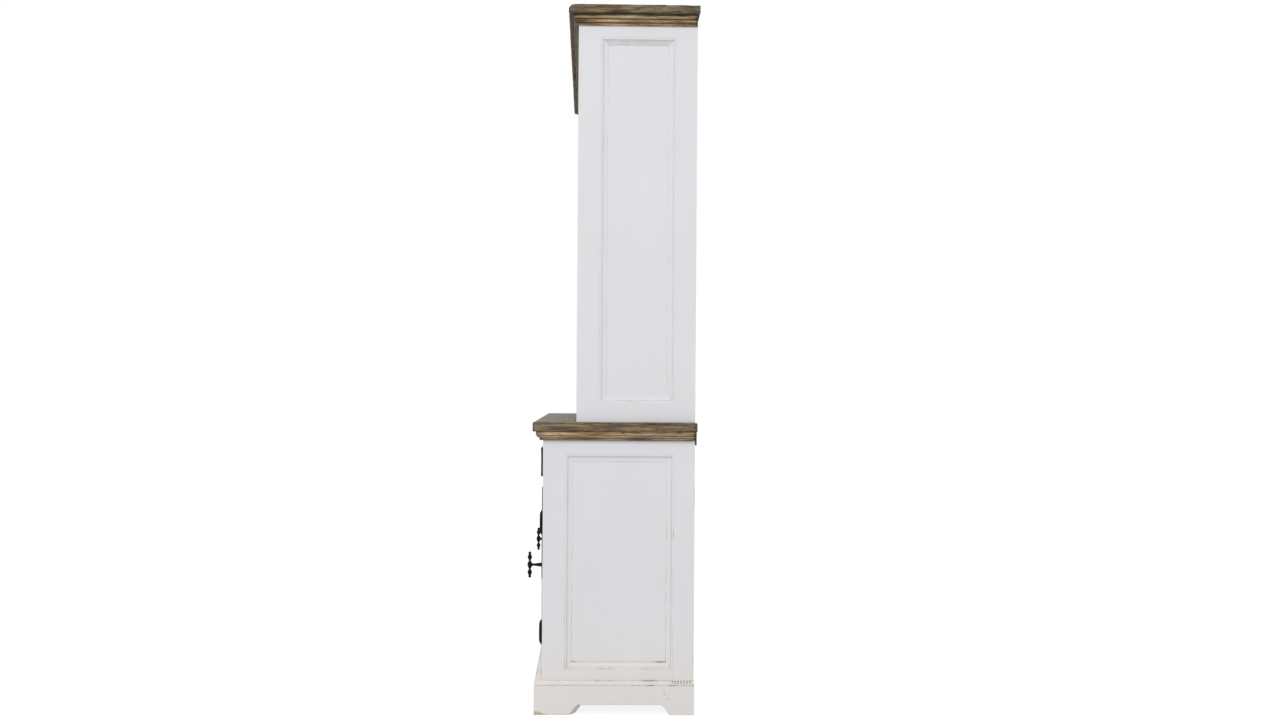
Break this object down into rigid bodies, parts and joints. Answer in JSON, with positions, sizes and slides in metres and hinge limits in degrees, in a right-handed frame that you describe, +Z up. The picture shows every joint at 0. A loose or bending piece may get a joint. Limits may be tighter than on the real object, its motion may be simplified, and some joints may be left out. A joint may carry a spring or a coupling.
{
  "type": "trastero cabinet",
  "caption": "Tall white distressed cabinet: panelled base with doors, drawers and an open bay under a weathered wood counter, with an open shelved hutch and a crown.",
  "frame": {"origin": "on the floor, under the middle of the whole outline", "axes": "+X to the viewer's right across the width, front faces -Y, +Z up"},
  "size_m": [1.524, 0.539, 2.186],
  "materials": {
    "painted_pine": "white chalky paint rubbed through at the edges",
    "weathered_oak": "weathered grey-brown reclaimed boards, waxed",
    "bare_pine": "planed softwood, unfinished",
    "forged_iron": "forged and blackened, waxed"
  },
  "bodies": {
    "cabinet": {"back_batten": "weathered_oak", "base_back_boards": "painted_pine", "base_face_rails": "painted_pine", "base_face_stiles": "painted_pine", "base_floor": "painted_pine", "base_side_frame_left": "painted_pine", "base_side_frame_right": "painted_pine", "base_side_mouldings": "painted_pine", "base_side_panel_left": "painted_pine", "base_side_panel_right": "painted_pine", "centre_shelf": "painted_pine", "counter_board": "weathered_oak", "counter_moulding": "weathered_oak", "crown_board": "weathered_oak", "crown_moulding": "weathered_oak", "cupboard_shelf_left": "bare_pine", "cupboard_shelf_right": "bare_pine", "door_stops": "bare_pine", "drawer_dividers": "bare_pine", "drawer_guides": "bare_pine", "hinge_pin_halves": "forged_iron", "hutch_back_boards": "painted_pine", "hutch_brackets": "forged_iron", "hutch_face_stiles": "painted_pine", "hutch_header": "painted_pine", "hutch_shelf_high": "painted_pine", "hutch_shelf_low": "painted_pine", "hutch_shelf_middle": "painted_pine", "hutch_side_frame_left": "painted_pine", "hutch_side_frame_right": "painted_pine", "hutch_side_mouldings": "painted_pine", "hutch_side_panel_left": "painted_pine", "hutch_side_panel_right": "painted_pine", "hutch_top_board": "painted_pine", "partition_left": "painted_pine", "partition_right": "painted_pine", "plinth_back": "bare_pine", "plinth_cap": "painted_pine", "plinth_front": "painted_pine", "plinth_left": "painted_pine", "plinth_right": "painted_pine", "shelf_cleats": "painted_pine", "top_stretchers": "bare_pine"},
    "door_left": {"door_left_frame": "painted_pine", "door_left_hinge_halves": "forged_iron", "door_left_moulding": "painted_pine", "door_left_panel": "painted_pine", "door_left_pull": "forged_iron"},
    "door_right": {"door_right_frame": "painted_pine", "door_right_hinge_halves": "forged_iron", "door_right_moulding": "painted_pine", "door_right_panel": "painted_pine", "door_right_pull": "forged_iron"},
    "drawer_left": {"drawer_left_box": "bare_pine", "drawer_left_front": "weathered_oak"},
    "drawer_centre": {"drawer_centre_box": "bare_pine", "drawer_centre_front": "weathered_oak"},
    "drawer_right": {"drawer_right_box": "bare_pine", "drawer_right_front": "weathered_oak"}
  },
  "joints": [
    {"name": "door_left_hinge", "type": "hinge", "parent": "cabinet", "child": "door_left", "pos_m": [-0.6805, -0.212, 0.42], "axis": [0, 0, -1], "range_deg": [0, 160]},
    {"name": "door_right_hinge", "type": "hinge", "parent": "cabinet", "child": "door_right", "pos_m": [0.6805, -0.212, 0.42], "axis": [0, 0, 1], "range_deg": [0, 160]},
    {"name": "drawer_left_slide", "type": "slide", "parent": "cabinet", "child": "drawer_left", "axis": [0, -1, 0], "range_m": [0, 0.3]},
    {"name": "drawer_centre_slide", "type": "slide", "parent": "cabinet", "child": "drawer_centre", "axis": [0, -1, 0], "range_m": [0, 0.3]},
    {"name": "drawer_right_slide", "type": "slide", "parent": "cabinet", "child": "drawer_right", "axis": [0, -1, 0], "range_m": [0, 0.3]}
  ]
}
